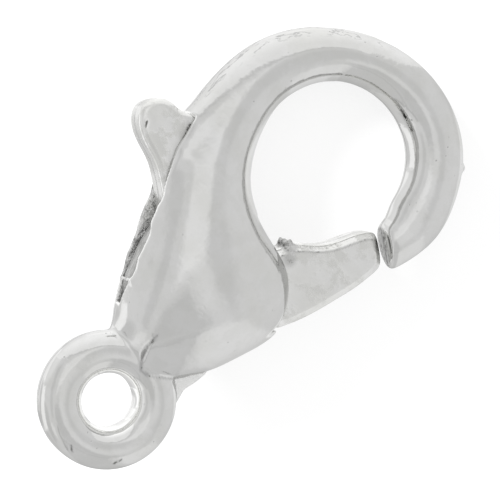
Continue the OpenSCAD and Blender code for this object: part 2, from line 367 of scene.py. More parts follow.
def body_rows():
    """Sides of the casting from the ring to the hook's tip: x and y of either side."""
    rows = [(r[0] * BELLY_W, along_y(r[1]), r[2] * BELLY_W, along_y(r[3])) for r in BELLY]
    centre = np.array([0, TO_HOOK])
    for inner_angle, outer_angle, gap, width in HOOK:
        inner = centre + polar(HOOK_GAP_D / 2 * gap, inner_angle)
        outer = centre + polar(HOOK_GAP_D / 2 + HOOK_W * width, outer_angle)
        rows.append((*inner, *outer))
    return rows


def tip_plane(rows):
    """A point on the hook's last section and the direction that its tip faces, in the plane."""
    inner, outer = np.array(rows[-1][:2]), np.array(rows[-1][2:])
    side = (outer - inner) / np.linalg.norm(outer - inner)
    return (inner + outer) / 2, np.array([side[1], -side[0]])


def ahead_of(tip, x, y):
    """How far places lie in front of the tip's plane, and how far from its point."""
    (at_x, at_y), (faces_x, faces_y) = tip
    return (x - at_x) * faces_x + (y - at_y) * faces_y, np.hypot(x - at_x, y - at_y)


class Grid:
    """A box of evenly spaced points, in millimetres."""

    def __init__(self, low, high, pitch):
        self.pitch = pitch
        self.low = np.array(low, float)
        self.shape = tuple(np.ceil((np.array(high) - self.low) / pitch).astype(int) + 1)
        axes = [self.low[i] + pitch * np.arange(self.shape[i]) for i in range(3)]
        self.x, self.y, self.z = np.meshgrid(*axes, indexing="ij", sparse=True)

    def flat_distance(self, outline):
        """Distance in the XY plane to a closed outline, inside negative, as one layer."""
        outline = np.asarray(outline, float)
        px, py = self.x[:, :, 0], self.y[:, :, 0]
        nearest = np.full(self.shape[:2], 1e9)
        inside = np.zeros(nearest.shape, bool)
        for a, b in zip(outline, np.roll(outline, -1, axis=0)):
            ex, ey = b - a
            length = max(ex * ex + ey * ey, 1e-12)
            t = np.clip(((px - a[0]) * ex + (py - a[1]) * ey) / length, 0, 1)
            nearest = np.minimum(nearest, (px - a[0] - t * ex) ** 2 + (py - a[1] - t * ey) ** 2)
            if a[1] != b[1]:
                inside ^= ((a[1] > py) != (b[1] > py)) & (px < (py - a[1]) * ex / ey + a[0])
        return (np.where(inside, -1, 1) * np.sqrt(nearest))[:, :, None]

    def slab(self, flat, thickness, edge):
        """A plate of an outline's distance, with its edges rounded by edge."""
        a = flat + edge
        b = np.abs(self.z) - thickness / 2 + edge
        return np.hypot(np.maximum(a, 0), np.maximum(b, 0)) + np.minimum(np.maximum(a, b), 0) - edge

    def grit(self, height, size):
        return height * grit(self.x, self.y, self.z, size)

    def value(self, field, points):
        """What a field is at points in millimetres."""
        steps = (points - self.low) / self.pitch
        return sample(np.broadcast_to(field, self.shape), steps)[0]


def blend(a, b, width):
    """Union of two fields with a fillet of about width."""
    h = np.maximum(width - np.abs(a - b), 0) / width
    return np.minimum(a, b) - h * h * h * width / 6


def carve(a, b, width):
    """The part of a that lies outside b, with its edges rounded by about width."""
    return -blend(-a, b, width)


def b_spline(f):
    """Weights and slopes of the four cubic B-spline neighbours of a fraction f."""
    g = 1 - f
    weights = (g ** 3 / 6, (3 * f ** 3 - 6 * f ** 2 + 4) / 6, (3 * g ** 3 - 6 * g ** 2 + 4) / 6,
               f ** 3 / 6)
    slopes = (-g ** 2 / 2, (3 * f ** 2 - 4 * f) / 2, -(3 * g ** 2 - 4 * g) / 2, f ** 2 / 2)
    return weights, slopes


def sample(field, places):
    """Value and slope of a field at places given in grid steps."""
    base = np.clip(np.floor(places).astype(int), 1, np.array(field.shape) - 3)
    weights, slopes = zip(*[b_spline(places[:, i] - base[:, i]) for i in range(3)])
    value = np.zeros(len(places))
    slope = np.zeros((len(places), 3))
    for i in range(4):
        for j in range(4):
            for k in range(4):
                f = field[base[:, 0] + i - 1, base[:, 1] + j - 1, base[:, 2] + k - 1]
                value += f * weights[0][i] * weights[1][j] * weights[2][k]
                slope[:, 0] += f * slopes[0][i] * weights[1][j] * weights[2][k]
                slope[:, 1] += f * weights[0][i] * slopes[1][j] * weights[2][k]
                slope[:, 2] += f * weights[0][i] * weights[1][j] * slopes[2][k]
    return value, slope


def surface(grid, field):
    """Smooth closed mesh where the field is zero: points in millimetres, and quads."""
    levels = vdb.FloatGrid(float(field.max()))
    levels.copyFromArray(field.astype(np.float32))
    points, quads = levels.convertToQuads(isovalue=0.0)
    places = points.astype(float)
    for _ in range(SURFACE_ROUNDS):
        value, slope = sample(field, places)
        places -= (value / np.maximum((slope ** 2).sum(1), 1e-9))[:, None] * slope
    return grid.low + places * grid.pitch, quads


def make_piece(name, points, faces, node, body, marks=None):
    """A smooth object from points in millimetres, which stands for a node of the frame."""
    mesh = bpy.data.meshes.new(name)
    mesh.from_pydata(to_frame(points).tolist(), [], faces.tolist())
    mesh.validate()
    mesh.shade_smooth()
    place = mesh.attributes.new("place", "FLOAT_VECTOR", "POINT")
    place.data.foreach_set("vector", np.asarray(points, np.float32).ravel())
    for mark, values in (marks or {}).items():
        layer = mesh.attributes.new(mark, "FLOAT", "POINT")
        layer.data.foreach_set("value", values.astype(np.float32))
    piece = bpy.data.objects.new(name, mesh)
    bpy.context.scene.collection.objects.link(piece)
    if body:
        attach(piece, body)
    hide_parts(node)
    return piece


def slot_outline():
    """The slot's outline: floor, arc below the hub, mouth at the gate, wall at the trigger."""
    floor = [np.array([x * BELLY_W, y * TO_RING]) for x, y in SLOT_FLOOR]
    under_hub = [polar(HUB_D / 2 + SLOT_GAP, a) for a in np.linspace(*SLOT_HUB)]
    mouth = [polar(share * GATE_REACH, a + travel * LEVER_TRAVEL) for a, share, travel in SLOT_GATE]
    wall = [polar(share * TRIGGER_REACH, a) for a, share in SLOT_TRIGGER]
    return floor + under_hub + mouth + wall


def body_outline(rows):
    """The casting's outline: up its gate's side and back, carried on past the hook's tip."""
    _, ahead = tip_plane(rows)
    beyond = np.array(rows[-1]) + [*ahead * HOOK_BEYOND, *ahead * HOOK_BEYOND]
    curve = natural_spline(rows + [tuple(beyond)], OUTLINE_STEPS)
    return np.concatenate([curve[:, :2], curve[::-1, 2:]])


def swelling(depth, pitch):
    """Height of a film blown up over the places of positive depth and held down at their edge."""
    inside = depth > 0
    height = np.where(inside, depth * SWELL_START, 0)
    ties = np.full(depth.shape, 4 + (SWELL_HOLD * pitch) ** 2)
    links = []
    for axis in (0, 1):
        for turn in (1, -1):
            beside = np.roll(depth, turn, axis)
            edge = np.clip(-beside / np.maximum(depth, 0.25 * pitch), 0, 4)
            ties += np.where(beside > 0, 0, edge)
            links.append((axis, turn, beside > 0))
    even = np.indices(depth.shape).sum(0) % 2 == 0
    for _ in range(SWELL_ROUNDS):
        for part in (inside & even, inside & ~even):
            pull = np.full(depth.shape, pitch * pitch)
            for axis, turn, tied in links:
                pull += np.where(tied, np.roll(height, turn, axis), 0)
            height = np.where(part, height + SWELL_SPEED * (pull / ties - height), height)
    return height


def blown_up(grid, sides):
    """Field of a body blown up inside its outline's distance: thick where it is wide."""
    depth = -sides[:, :, 0]
    height = swelling(depth, grid.pitch)
    known = depth > SHORE
    slope = np.where(known, height / np.maximum(depth, SHORE), 0)
    moves = [(axis, turn) for axis in (0, 1) for turn in (1, -1)]
    for _ in range(SHORE_ROUNDS):
        count = sum(np.roll(known, turn, axis).astype(float) for axis, turn in moves)
        total = sum(np.roll(slope, turn, axis) for axis, turn in moves)
        grown = ~known & (count > 0)
        slope = np.where(grown, total / np.maximum(count, 1), slope)
        known = known | grown
    square = 2 * np.where(known, slope, SWELL_START) * depth * SWELL_SCALE ** 2
    steep = np.hypot(*np.gradient(square, grid.pitch))
    size = np.sqrt(4 * grid.z ** 2 + (steep ** 2)[:, :, None])
    field = (grid.z ** 2 - square[:, :, None]) / np.maximum(size, 0.5)
    return np.clip(field, -FIELD_LIMIT, FIELD_LIMIT)


def soft(value, low, high):
    """Soft step of numbers, 0 at low and 1 at high."""
    t = np.clip((value - low) / (high - low), 0, 1)
    return t * t * (3 - 2 * t)


def near(distance, reach, fade):
    """1 close by and 0 from reach on, with a soft end of the width fade."""
    return soft(reach - distance, 0, fade)


def grit(x, y, z, size):
    """Uneven numbers about 0 that repeat only far away, with lumps of about size."""
    k = 2 * math.pi / size
    total = 0
    for turn, phase in GRIT_WAVES:
        u = x * math.cos(turn) + y * math.sin(turn)
        v = z * math.cos(turn * 1.7) - x * math.sin(turn) + y * math.cos(turn)
        total = total + np.sin(k * u * 0.83 + phase) * np.sin(k * v * 0.61 + 2 * phase)
    return total / 2.2


def from_segment(x, y, a, b):
    """Distance in the XY plane to the line between two places."""
    ex, ey = b[0] - a[0], b[1] - a[1]
    t = np.clip(((x - a[0]) * ex + (y - a[1]) * ey) / (ex * ex + ey * ey), 0, 1)
    return np.hypot(x - a[0] - t * ex, y - a[1] - t * ey)


def from_segments(x, y, segments):
    """Distance in the XY plane to the nearest of several lines."""
    return np.minimum.reduce([from_segment(x, y, a, b) for a, b in segments])


def chain(places):
    return zip(places, places[1:])


def casting(grid, rows):
    """The belly and the hook, blown up, with lips beside the slot and a cut tip."""
    sides = grid.flat_distance(body_outline(rows))
    cast = blown_up(grid, sides)
    for low, high, fade_down, fade_up, inset, limit in LIPS:
        sinks = np.maximum(soft(grid.y, high, high + fade_up), soft(-grid.y, -low, fade_down - low))
        lip = np.maximum(sides + inset + LIP_SINKS * sinks, grid.x - limit)
        cast = blend(cast, grid.slab(lip, LIP_T - LIP_THINS * sinks, LIP_EDGE), LIP_FILLET)
    ahead, from_tip = ahead_of(tip_plane(rows), grid.x, grid.y)
    cast = np.where(from_tip < TIP_CUT_R, carve(cast, TIP_PAST - ahead, TIP_EDGE), cast)
    past_dome = soft(grid.flat_distance(DOME_END), *SPAN["past_dome"])
    return cast + NECK_SINK * past_dome * soft(-grid.y, *SPAN["neck_y"])


def ring(grid):
    middle = (RING_BORE_D + RING_W) / 2
    return grid.slab(np.abs(np.hypot(grid.x, grid.y + TO_RING) - middle) - RING_W / 2, RING_T,
                     RING_ROUND)


def hook_bump(grid):
    x, y, z, radius = HOOK_BUMP
    away = np.sqrt((grid.x - x) ** 2 + (grid.y - y) ** 2 + (grid.z - z) ** 2)
    return away - radius + grid.grit(*BUMP_GRIT)


def slot_room(grid):
    """The slot: thinner at the leaf's foot, with uneven edges on the trigger's side."""
    foot = soft(-grid.y, *SPAN["foot_y"]) * soft(-grid.x, *SPAN["foot_x"])
    room = grid.slab(grid.flat_distance(slot_outline()), SLOT_T - FOOT_THINS * foot, SLOT_CORNER)
    waves = sum(height * np.sin(k * grid.y + shift) for height, k, shift in SLOT_WAVES) - SLOT_WIDER
    room = room + waves * soft(-grid.x, *SPAN["waves_x"]) * soft(-grid.y, *SPAN["waves_y"])
    return room + soft(-grid.y, *SPAN["slot_grit_y"]) * grid.grit(*SLOT_GRIT)


def foot_bar(grid):
    x, y, radius = FOOT_BAR
    bar = np.maximum(np.hypot(grid.x - x, grid.y - y) - radius, np.abs(grid.z) - SLOT_T / 2)
    return bar + grid.grit(*BAR_GRIT)


def slot_marks(x, y, z, in_slot):
    """Marks about the slot: its raw skin, painted highlights along its rims, and painted shade inside."""
    # Raw skin of the slot: rough metal whose lighter tone is painted light in the slot's dim inside
    raw = np.clip(1 - in_slot / RAW_SKIN, 0, 1)
    # Painted highlights along the slot's edge on the trigger's side and at the gate's mouth
    rim_highlight = near(np.abs(in_slot - RIM_AT), *MARK["rim_highlight"]) * soft(-x, *SPAN["rim_x"])
    gate_highlight = near(in_slot, *MARK["gate_highlight"]) * soft(in_slot, *SPAN["gate_highlight"])
    rim_highlight = np.maximum(rim_highlight, HIGHLIGHT["gate_highlight"] * gate_highlight * soft(x, *SPAN["rim_x"]))
    # Painted shade at the slot's foot and along its wall, where the hole lies in shade
    darkening = np.maximum(DARK["foot"] * soft(-y, *SPAN["foot_shade_y"]),
                      DARK["wall"] * soft(-y, *SPAN["wall_shade_y"]))
    off_bar = np.hypot(x - FOOT_BAR[0], y - FOOT_BAR[1]) > OFF_BAR
    crumbs = near(np.abs(in_slot + CRUMB_SHIFT + CRUMB_GRIT[0] * grit(x, y, z, CRUMB_GRIT[1])),
                  *MARK["crumbs"])
    groups = grit(x, y, z, CRUMB_GROUPS[0]) > CRUMB_GROUPS[1]
    crumbs *= groups * (z < 0) * (x < CRUMBS_TO_X) * soft(-y, *SPAN["crumbs_y"])
    # Painted shade inside the slot, with the shade at its foot and wall; the crumbs are dark grit
    dark = [DARK["slot"] * raw, darkening * raw * (x < SHADE_TO_X) * off_bar, DARK["crumbs"] * crumbs]
    return raw, rim_highlight, dark


def body_marks(grid, points, tip, room, flash):
    """How raw, dark, light and worn each point of the body is: light is painted highlight, and much of dark is
    painted shade.
    """
    x, y, z = points.T
    raw, rim_highlight, dark = slot_marks(x, y, z, grid.value(room, points))
    ahead, from_tip = ahead_of(tip, x, y)
    # The hook's end face: rough raw metal, with painted shade across its middle where it faces the gate
    end_face = soft(ahead, *SPAN["end_face"]) * (from_tip < END_FACE_R)
    end_face *= near(np.abs(z - END_FACE_Z), *MARK["end_face"])
    from_ring = np.hypot(x, y + TO_RING)
    # Painted highlight round the edge of the ring's bore
    bore = near(from_ring - RING_BORE_D / 2, *MARK["bore"])
    # Painted shade along the crease where the dome ends and under its edge by the neck; dark lines at the ring's
    # nicks
    lines = {"crease": chain(DOME_END[:5]), "under": chain(DOME_END[4:8]),
             "ring_nicks": RING_NICKS}
    for mark, line in lines.items():
        shown = near(from_segments(x, y, line), *MARK[mark]) * (z > SHOWS_FROM[mark])
        dark.append(DARK[mark] * shown)
    worn = near(np.abs(z), *MARK["worn"]) * soft(y, *SPAN["worn_y"]) * soft(-x, *SPAN["worn_x"])
    hook_middle = HOOK_GAP_D / 2 + 0.5 * HOOK_W
    worn *= soft(np.hypot(x, y - TO_HOOK) - hook_middle, *SPAN["worn_out"])
    on_flash = near(grid.value(grid.slab(flash, FLASH_T, 0), points), *MARK["flash"])
    on_flash *= from_ring > RING_R + OFF_RING
    # light holds painted highlights; dark holds painted shade with the darker marks of the metal
    return {"raw": np.maximum.reduce([raw, RAW_END_FACE * end_face, on_flash]),
            "dark": np.maximum.reduce([*dark, DARK["end_face"] * end_face]),
            "light": np.maximum(rim_highlight, HIGHLIGHT["bore"] * bore), "worn": worn}


def make_body():
    """The body: belly and hook, ring, flash and bump, less the slot and the pin's hole."""
    rows = body_rows()
    grid = Grid(*BODY_GRID)
    whole = blend(casting(grid, rows), ring(grid), NECK_FILLET)
    flash = grid.flat_distance([[0, -TO_RING] + polar(s * RING_R, a) for a, s in FLASH])
    whole = blend(whole, grid.slab(flash, FLASH_T, FLASH_EDGE), FLASH_FILLET)
    whole = blend(whole, hook_bump(grid), BUMP_FILLET)
    room = slot_room(grid)
    whole = blend(carve(whole, room, SLOT_EDGE), foot_bar(grid), BAR_FILLET)
    pin = np.maximum(np.hypot(grid.x, grid.y) - PIN_D / 2 - PIN_IN_BODY,
                     np.abs(grid.z) - SLOT_T / 2 - PIN_SEAT)
    points, quads = surface(grid, np.maximum(whole, -pin))
    marks = body_marks(grid, points, tip_plane(rows), room, flash)
    return make_piece("clasp_body", points, quads, "body", "shell", marks)


def arm_outline(table, reach, on_hub):
    """An arm of the lever: from the hub's edge round its table of places and back."""
    root = HUB_D / 2 - ROOT_SINK
    curve = natural_spline([polar(share * reach, a) for a, share in table], ARM_STEPS)
    return np.concatenate([[polar(root, on_hub[0])], curve, [polar(root, on_hub[1])]])


def lever_marks(points, in_gate, nub_at):
    """How dark and raw each point of the lever is: painted shade beside the nub and along the pad's edge under the
    body, and darker marks at the nub, the nick and the gate's brink.
    """
    x, y, z = points.T
    on_face = soft(z, *SPAN["lever_face"])
    # Painted shade in a patch beside the nub
    hollow_shade = near(np.hypot(x - HOLLOW_SHADE_AT[0], y - HOLLOW_SHADE_AT[1]), *MARK["hollow_shade"])
    # Painted shade along the pad where it goes under the body's edge, soft and broad with a darker brink
    from_pad_shade = from_segment(x, y, *PAD_SHADE)
    darkening = (DARK["pad_shade"] * near(from_pad_shade, *MARK["pad_shade"])
            + DARK["pad_brink"] * near(from_pad_shade, *MARK["pad_brink"]))
    middle = math.radians(GATE_MIDDLE)
    above = y * math.cos(middle) - x * math.sin(middle) > BRINK_FROM[0]
    above = above * (np.hypot(x, y) > BRINK_FROM[1])
    brink = near(np.abs(in_gate + GATE_BEVEL), *MARK["gate_brink"]) * above
    nick = near(from_segment(x, y, *PAD_NICK), *MARK["pad_nick"])
    on_nub = near(np.hypot(x - nub_at[0], y - nub_at[1]), *MARK["nub"])
    dark = [DARK["hollow_shade"] * hollow_shade, darkening * on_face, DARK["pad_nick"] * nick * on_face,
            DARK["nub"] * on_nub, DARK["gate_brink"] * brink * on_face]
    return {"dark": np.maximum.reduce(dark), "raw": on_nub}


def make_lever():
    """The lever: gate, hub and trigger as one plate, with a bevelled gate and a rough nub."""
    grid = Grid(*LEVER_GRID)
    gate = grid.flat_distance(arm_outline(GATE, GATE_REACH, GATE_ON_HUB))
    trigger = grid.flat_distance(arm_outline(TRIGGER, TRIGGER_REACH, TRIGGER_ON_HUB))
    from_pivot = np.hypot(grid.x, grid.y)
    flat = blend(blend(gate, from_pivot - HUB_D / 2, HUB_FILLET), trigger, HUB_FILLET)
    corner = near(np.hypot(grid.x - PAD_CORNER[0], grid.y - PAD_CORNER[1]), *MARK["pad_corner"])
    edge = GATE_EDGE + (PAD_EDGE - GATE_EDGE) * soft(-grid.x, *SPAN["pad_x"])
    whole = grid.slab(flat, LEVER_T, edge - CORNER_SHARPER * corner)
    bevel = -BEVEL_COSINE * (gate + grid.z - LEVER_T / 2 + GATE_BEVEL)
    beside = np.maximum(gate - BEVEL_PAST, BEVEL_FROM - from_pivot)
    whole = carve(whole, np.maximum(bevel, beside), BEVEL_EDGE)
    nub_at = polar(NUB_AT[1] * GATE_REACH, NUB_AT[0]) + NUB_SHIFT
    from_nub = np.hypot(grid.x - nub_at[0], grid.y - nub_at[1])
    nub = grid.slab(from_nub - NUB_D / 2 + NUB_LESS, NUB_T, NUB_EDGE) + grid.grit(*NUB_GRIT)
    whole = blend(whole, nub, NUB_FILLET)
    from_nick = np.hypot(from_segment(grid.x, grid.y, *PAD_NICK), grid.z - LEVER_T / 2)
    whole = carve(whole, from_nick - PAD_NICK_R, NICK_EDGE)
    whole = np.maximum(whole, PIN_D / 2 + PIN_IN_LEVER - from_pivot)
    points, quads = surface(grid, whole)
    marks = lever_marks(points, grid.value(gate, points), nub_at)
    return make_piece("clasp_lever", points, quads, "lever", "lever", marks)


def make_spring():
    """The leaf, a strip that bends from its foot in the body to its free end at the lever."""
    way = natural_spline([(x * BELLY_W, y * TO_RING) for x, y in SPRING], LEAF_STEPS)
    heading = np.gradient(way, axis=0)
    side = np.column_stack([-heading[:, 1], heading[:, 0]])
    side /= np.linalg.norm(side, axis=1)[:, None]
    half_t, half_w = SPRING_T / 2, SPRING_W / 2
    flat_t, flat_w = half_t - SPRING_BEVEL, half_w - SPRING_BEVEL
    profile = [(-half_t, -flat_w), (-flat_t, -half_w), (flat_t, -half_w), (half_t, -flat_w),
               (half_t, flat_w), (flat_t, half_w), (-flat_t, half_w), (-half_t, flat_w)]
    points = np.array([np.append(p + s * u, z) for p, s in zip(way, side) for u, z in profile])
    n = len(profile)
    last = (len(way) - 1) * n
    faces = [[j + k, j + (k + 1) % n, j + n + (k + 1) % n, j + n + k]
             for j in range(0, last, n) for k in range(n)]
    faces += [list(range(n - 1, -1, -1)), list(range(last, last + n))]
    piece = make_piece("leaf_spring", points, np.array(faces, dtype=object), "spring", None)
    start, end = [tuple(to_frame([*way[i], 0])) for i in (LEAF_HELD, -1)]
    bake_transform(piece)
    return piece


class Value:
    """An output of a node, with the usual signs of sums."""

    def __init__(self, graph, socket):
        self.graph, self.socket = graph, socket

    def __add__(self, other):
        return self.graph.math("ADD", self, other)

    def __sub__(self, other):
        return self.graph.math("SUBTRACT", self, other)

    def __rsub__(self, other):
        return self.graph.math("SUBTRACT", other, self)

    def __mul__(self, other):
        return self.graph.math("MULTIPLY", self, other)

    def __abs__(self):
        return self.graph.math("ABSOLUTE", self)

    __radd__ = __add__
    __rmul__ = __mul__

    def step(self, low, high, at_low=0.0, at_high=1.0):
        """Soft step between two numbers while this goes from low to high."""
        return self.graph.node("ShaderNodeMapRange", (self, low, high, at_low, at_high),
                               interpolation_type="SMOOTHSTEP")


class Graph:
    """A node tree, built by short calls."""

    def __init__(self, tree):
        self.tree = tree
        tree.nodes.clear()

    def add(self, kind, inputs, **settings):
        """A new node with its inputs fed, by their names or in their order."""
        node = self.tree.nodes.new(kind)
        for key, value in settings.items():
            setattr(node, key, value)
        for key, value in inputs.items() if isinstance(inputs, dict) else enumerate(inputs):
            if isinstance(value, Value):
                self.tree.links.new(value.socket, node.inputs[key])
            else:
                node.inputs[key].default_value = value
        return node

    def node(self, kind, inputs=(), output=0, **settings):
        """An output of a new node."""
        return Value(self, self.add(kind, inputs, **settings).outputs[output])

    def end_with(self, shader, output, **inputs):
        """Ends the tree with a shader, whose inputs have _ for each space in their names."""
        inputs = {name.replace("_", " "): value for name, value in inputs.items()}
        self.add(output, {"Surface": self.node(shader, inputs)})

    def attribute(self, name, output="Fac"):
        return self.node("ShaderNodeAttribute", (), output, attribute_name=name)

    def math(self, operation, *values):
        return self.node("ShaderNodeMath", values, operation=operation)

    def vector(self, operation, *values, output="Vector"):
        return self.node("ShaderNodeVectorMath", values, output, operation=operation)

    def depth_in(self, at, points):
        """How far a place (x, y, 1) lies inside a convex outline."""
        middle = np.mean(points, axis=0)
        nearest = None
        for p, q in zip(points, points[1:] + points[:1]):
            side = np.array([q[1] - p[1], p[0] - q[0]]) / math.dist(p, q)
            side *= 1 if side @ (middle - p) > 0 else -1
            depth = self.vector("DOT_PRODUCT", at, (*side, -(side @ p)), output="Value")
            nearest = self.math("MINIMUM", nearest, depth) if nearest else depth
        return nearest

    def noise(self, place, name):
        """One of the noises in the table."""
        scale, detail, roughness, offset = NOISE[name]
        place = self.vector("ADD", place, (offset, offset * 1.7, offset * 0.6))
        inputs = {"Vector": place, "Scale": scale, "Detail": detail, "Roughness": roughness}
        return self.node("ShaderNodeTexNoise", inputs, "Fac")

    def mix(self, factor, a, b):
        return self.node("ShaderNodeMix", {"Factor": factor, "A": a, "B": b}, "Result",
                         data_type="RGBA")

    def bump(self, height, name, normal=None):
        """One of the bumps in the table, on top of another."""
        distance, strength = BUMP[name]
        inputs = {"Strength": strength, "Distance": distance * MM, "Height": height}
        if normal:
            inputs["Normal"] = normal
        return self.node("ShaderNodeBump", inputs, "Normal")


# Noises in the metal: scale per millimetre, detail, roughness, and a shift of their place
NOISE = {
    "waves": (0.55, 2.0, 0.45, 0.0), "ripples": (2.1, 2.0, 0.5, 4.2),
    "grain": (9.0, 4.0, 0.6, 3.1), "pitted": (1.3, 2.0, 0.5, 7.7),
    "broken": (1.1, 3.0, 0.6, 5.3), "cracks": (2.6, 4.0, 0.6, 2.2),
    "cracked": (1.6, 2.0, 0.5, 8.8), "stain": (0.9, 3.0, 0.55, 1.4),
    "patches": (1.7, 5.0, 0.62, 9.3), "specks": (7.5, 4.0, 0.7, 6.6),
    "scratches": (3.0, 4.0, 0.65, 0.0),
}

# Soft steps of the noises and of the darkest coat of grime specks and painted shade. The parting line and the pits
# are steps of a distance in millimetres and in cells, and the cracks of how near the noise is to its middle.
STEP = {
    "grain": (0.3, 0.7), "pits": (0.13, 0.05), "pitted": (0.50, 0.62), "line": (0.075, 0.03),
    "broken": (0.30, 0.44), "cracks": (0.020, 0.006), "cracked": (0.38, 0.47),
    "stain": (0.35, 0.7), "patches": (0.44, 0.58), "darkening": (0.86, 1.08),
    "scratches": (0.35, 0.7), "scratch_gloss": (0.3, 0.7),
}

# Heights of the bumps in millimetres, and their strengths
BUMP = {
    "waves": (0.022, 1.0), "ripples": (0.009, 1.0), "line": (0.006, 0.9),
    "cracks": (0.006, 0.8), "pits": (0.010, 0.8), "grain": (0.040, 1.0),
    "patches": (0.004, 1.0), "scratches": (0.012, 0.6),
}

# Cells per millimetre that may hold a pit, the stretch of the cracks round the hook, and how
# the dark marks, much of them painted shade, and the grime specks make the darkest coat
PIT_CELLS = 3.6
CRACK_STRETCH = 1.3
DARKENING_FROM_DARK = 0.8
DIRT_OF_SPECKS = 1.1

# Roughness: the shares of the plate's own that the grain varies it between, the share of it
# that patches add, and what raw metal and the darkest coat add. Clean plate keeps a little of the grain.
GRAIN_ROUGH = (0.8, 1.25)
PATCHES_ROUGHEN = 0.9
RAW_ROUGHENS = 0.28
DARKENING_ROUGHENS = 0.3
CLEAN_GRAIN = 0.02

# Tones of the metals, and of raw metal, lighter as painted light in the slot's dim inside, of
# painted highlights and of the darkest coat, grime specks and deep painted shade. EDGE_TINT is the share of light
# at a grazing angle.
BODY_TONE = (0.68, 0.68, 0.675, 1)
LEVER_TONE = (0.77, 0.77, 0.762, 1)
SPRING_TONE = (0.44, 0.44, 0.43, 1)
PIN_TONE = (0.5, 0.5, 0.5, 1)
RAW_AND_PAINTED_LIGHT_TONE = (0.86, 0.86, 0.85, 1)
HIGHLIGHT_TONE = (0.95, 0.95, 0.94, 1)
DARKENING_TONE = (0.13, 0.13, 0.12, 1)
EDGE_TINT = (0.75, 0.75, 0.75, 1)

# Stretch of the steel's scratches, and the roughness of dull steel between them and on them
STEEL_STRETCH = (1 / MM, 1 / MM, 6 / MM)
STEEL_ROUGH = (0.32, 0.5)


def new_material(name):
    material = bpy.data.materials.new(name)
    material.use_nodes = True
    return material, Graph(material.node_tree)


def shaded(tone, share, blue=None):
    """A darker tone, whose blue may have a share of its own."""
    return (tone[0] * share, tone[1] * share, tone[2] * (blue or share), 1)


def plated_metal(name, tone, roughness, mottle):
    """Silver plate over a casting: soft waves, a parting line, pits, stains, grime specks, painted highlights and
    painted shade in corners.
    """
    material, n = new_material(name)
    place = n.attribute("place", "Vector")
    raw, dark = n.attribute("raw"), n.attribute("dark")
    x, y, z = [Value(n, socket) for socket in n.add("ShaderNodeSeparateXYZ", (place,)).outputs]
    grain = n.noise(place, "grain")
    pits = n.node("ShaderNodeTexVoronoi", {"Vector": place, "Scale": PIT_CELLS}, "Distance")
    pits = pits.step(*STEP["pits"]) * n.noise(place, "pitted").step(*STEP["pitted"])
    line = abs(z).step(*STEP["line"]) * n.noise(place, "broken").step(*STEP["broken"])
    turn = n.math("ARCTAN2", y - TO_HOOK, x)
    around = n.node("ShaderNodeCombineXYZ", (turn * CRACK_STRETCH, z))
    cracks = abs(n.noise(around, "cracks") - 0.5).step(*STEP["cracks"]) * n.attribute("worn")
    cracks = cracks * n.noise(place, "cracked").step(*STEP["cracked"])
    patches = n.noise(place, "patches").step(*STEP["patches"]) * mottle
    # The darkest coat: grime specks, and deep painted shade where the dark marks are strong
    darkening = dark * DARKENING_FROM_DARK + n.noise(place, "specks") * DIRT_OF_SPECKS
    darkening = darkening.step(*STEP["darkening"])
    # From the plate up: how much of each coat shows, and its tone
    base = tone
    for share, coat in (
            (n.noise(place, "stain").step(*STEP["stain"]), shaded(tone, 0.955, 0.94)),
            (patches, shaded(tone, 0.87, 0.855)),
            # Raw metal: rough, and lighter as painted light that lifts the slot's dim inside
            (raw * 0.8, RAW_AND_PAINTED_LIGHT_TONE),
            (line * 0.8, shaded(tone, 0.62)),
            (cracks * 0.8, shaded(tone, 0.6)),
            # Painted highlights along the slot's edges and round the bore
            (n.attribute("light"), HIGHLIGHT_TONE),
            (pits * 0.5, shaded(tone, 0.45)),
            # The dark marks, much of them painted shade
            (dark, shaded(tone, 0.30)),
            (darkening * 0.7, DARKENING_TONE)):
        base = n.mix(share, base, coat)
    rough = grain.step(*STEP["grain"], *[roughness * share for share in GRAIN_ROUGH])
    rough = rough + raw * RAW_ROUGHENS + patches * (roughness * PATCHES_ROUGHEN)
    rough = rough + darkening * DARKENING_ROUGHENS
    normal = None
    for mark, height in (
            ("waves", n.noise(place, "waves")),
            ("ripples", n.noise(place, "ripples")),
            ("line", line),
            ("cracks", 1.0 - cracks),
            ("pits", 1.0 - pits),
            ("grain", grain * (raw + CLEAN_GRAIN)),
            ("patches", patches * -1.0)):
        normal = n.bump(height, mark, normal)
    n.end_with("ShaderNodeBsdfPrincipled", "ShaderNodeOutputMaterial", Base_Color=base,
               Metallic=1.0, Roughness=rough, Specular_Tint=EDGE_TINT, Normal=normal)
    return material


def dull_steel(name, tone):
    """Rolled steel with fine scratches along the strip."""
    material, n = new_material(name)
    place = n.node("ShaderNodeTexCoord", (), "Object")
    place = n.node("ShaderNodeMapping", {"Vector": place, "Scale": STEEL_STRETCH})
    scratches = n.noise(place, "scratches")
    n.end_with("ShaderNodeBsdfPrincipled", "ShaderNodeOutputMaterial",
               Base_Color=n.mix(scratches.step(*STEP["scratches"]), tone, shaded(tone, 0.55)),
               Metallic=1.0, Roughness=scratches.step(*STEP["scratch_gloss"], *STEEL_ROUGH),
               Normal=n.bump(scratches, "scratches"))
    return material


def finish_with(piece, material):
    piece.data.materials.clear()
    piece.data.materials.append(material)


# Camera: the photograph's view, by its direction about the pivot and its frame's width. The
# lengths are in millimetres.
VIEW_DIRECTION = (-0.236, -0.142, 0.961)
VIEW_ROLL = 46.9
VIEW_TARGET = (0.075, 1.48, 0)
VIEW_DISTANCE = 72.0
FRAME_WIDTH = 14.0
SENSOR = 36.0
NEAREST_SEEN = 1
FARTHEST_SEEN = 10000


